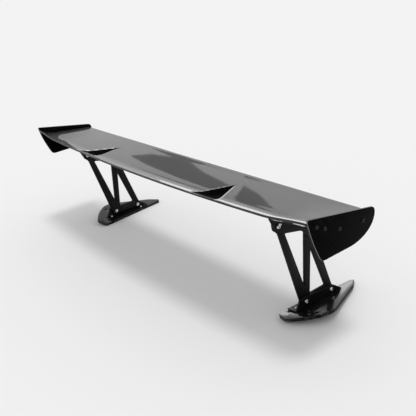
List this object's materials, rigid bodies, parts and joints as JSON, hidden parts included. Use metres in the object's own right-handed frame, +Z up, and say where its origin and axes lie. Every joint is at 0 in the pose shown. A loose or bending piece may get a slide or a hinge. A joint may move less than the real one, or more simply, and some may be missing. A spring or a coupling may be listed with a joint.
{
  "type": "racing rear wing",
  "caption": "Wide cambered racing rear wing with flat end plates, trailing-edge notches, truss stands, an angle adjuster and tilted foot plates.",
  "frame": {"origin": "middle of the whole object's box, at the surface that its foot plates stand on", "axes": "+X along the span, +Y towards the leading edge, +Z up"},
  "size_m": [1.6118, 0.422, 0.4308],
  "materials": {
    "gloss_carbon": "clear-coated twill carbon laminate",
    "raw_carbon": "uncoated carbon laminate",
    "gloss_black_plate": "gloss black laminate plate",
    "powder_black": "satin black anodised plate",
    "anodised_foot": "satin dark anodised plate",
    "bare_aluminium": "machined",
    "black_screw": "black coated button-head screw",
    "stainless": "bright stainless fastener"
  },
  "bodies": {
    "stands": {"foot_bracket_left": "powder_black", "foot_bracket_right": "powder_black", "foot_front_bolt_left": "stainless", "foot_front_bolt_right": "stainless", "foot_front_nut_left": "stainless", "foot_front_nut_right": "stainless", "foot_plate_left": "anodised_foot", "foot_plate_right": "anodised_foot", "foot_rear_bolt_left": "stainless", "foot_rear_bolt_right": "stainless", "foot_rear_nut_left": "stainless", "foot_rear_nut_right": "stainless", "foot_screw_1_left": "stainless", "foot_screw_1_right": "stainless", "foot_screw_2_left": "stainless", "foot_screw_2_right": "stainless", "pivot_bolt_left": "stainless", "pivot_bolt_right": "stainless", "pivot_nut_left": "stainless", "pivot_nut_right": "stainless", "stand_plate_left": "powder_black", "stand_plate_right": "powder_black"},
    "wing": {"adjuster_bolt_left": "stainless", "adjuster_bolt_right": "stainless", "adjuster_nut_left": "stainless", "adjuster_nut_right": "stainless", "bracket_screw_front_left": "stainless", "bracket_screw_front_right": "stainless", "bracket_screw_rear_left": "stainless", "bracket_screw_rear_right": "stainless", "end_plate_left": "gloss_black_plate", "end_plate_right": "gloss_black_plate", "end_plate_screw_1_left": "black_screw", "end_plate_screw_1_right": "black_screw", "end_plate_screw_2_left": "black_screw", "end_plate_screw_2_right": "black_screw", "end_plate_screw_3_left": "black_screw", "end_plate_screw_3_right": "black_screw", "end_plate_screw_4_left": "black_screw", "end_plate_screw_4_right": "black_screw", "front_spar": "raw_carbon", "lower_skin": "gloss_carbon", "mounting_shoe_front_left": "bare_aluminium", "mounting_shoe_front_right": "bare_aluminium", "mounting_shoe_rear_left": "bare_aluminium", "mounting_shoe_rear_right": "bare_aluminium", "notch_pan_left": "gloss_carbon", "notch_pan_right": "gloss_carbon", "rear_spar": "raw_carbon", "tip_rib_left": "raw_carbon", "tip_rib_right": "raw_carbon", "upper_skin": "gloss_carbon", "wing_bracket_left": "powder_black", "wing_bracket_right": "powder_black"}
  },
  "joints": [
    {"name": "wing_angle", "type": "hinge", "parent": "stands", "child": "wing", "pos_m": [0, 0.04202, 0.25579], "axis": [1, 0, 0], "range_deg": [-3, 3]}
  ]
}
